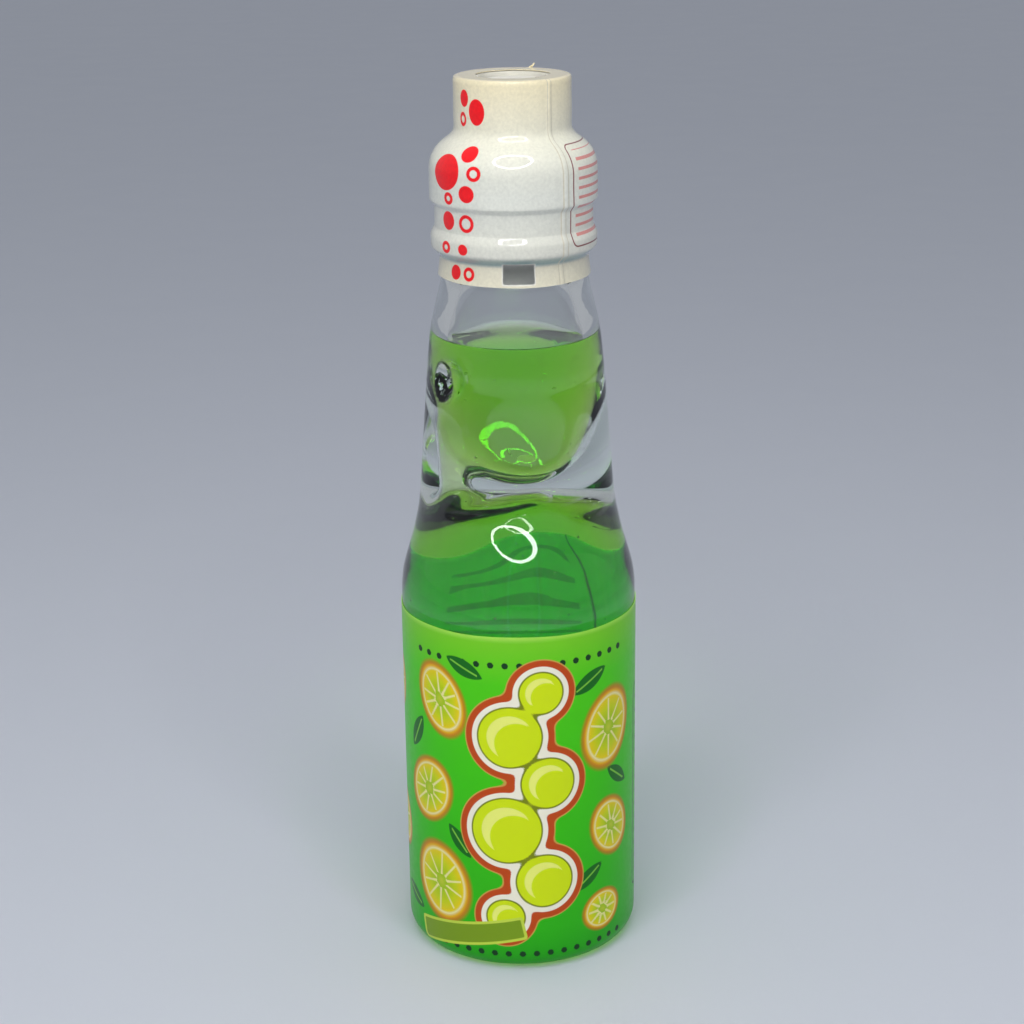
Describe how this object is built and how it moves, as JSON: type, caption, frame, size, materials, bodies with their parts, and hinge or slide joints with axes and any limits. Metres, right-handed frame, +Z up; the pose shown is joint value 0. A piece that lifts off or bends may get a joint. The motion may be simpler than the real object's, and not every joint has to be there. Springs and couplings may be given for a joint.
{
  "type": "marble stopper bottle",
  "caption": "Sealed glass soda bottle with a pinched waist, a marble that seals it from inside, a press-in opener under a white film wrap, and a printed sleeve label.",
  "frame": {"origin": "middle of the standing ring, on the surface that the bottle stands on", "axes": "+Z up along the bottle's axis; the pictured side faces -Y"},
  "size_m": [0.0564, 0.0564, 0.2104],
  "materials": {
    "bottle_glass": "polished",
    "soda": "gloss",
    "marble_glass": "polished",
    "gasket_rubber": "matte",
    "cap_plastic": "satin",
    "opener_plastic": "satin",
    "wrap_film": "gloss",
    "label_film": "gloss"
  },
  "bodies": {
    "bottle": {"glass_bottle": "bottle_glass", "drink": "soda", "mouth_gasket": "gasket_rubber", "mouth_cap": "cap_plastic", "body_label": "label_film"},
    "opener": {"opener_ring": "opener_plastic", "cap_wrap": "wrap_film"},
    "plunger": {"opener_plunger": "opener_plastic"},
    "marble": {"marble": "marble_glass"}
  },
  "joints": [
    {"name": "opener_lift", "type": "slide", "parent": "bottle", "child": "opener", "axis": [0, 0, 1], "range_m": [0, 0.045], "deforming": ["cap_wrap"]},
    {"name": "plunger_press", "type": "slide", "parent": "opener", "child": "plunger", "axis": [0, 0, -1], "range_m": [0, 0.0057]},
    {"name": "marble_drop", "type": "slide", "parent": "bottle", "child": "marble", "axis": [0, 0, -1], "range_m": [0, 0.059], "deforming": ["drink"]}
  ],
  "couplings": [
    {"joint": "plunger_press", "follows": "marble_drop", "ratio": 0.0966}
  ]
}
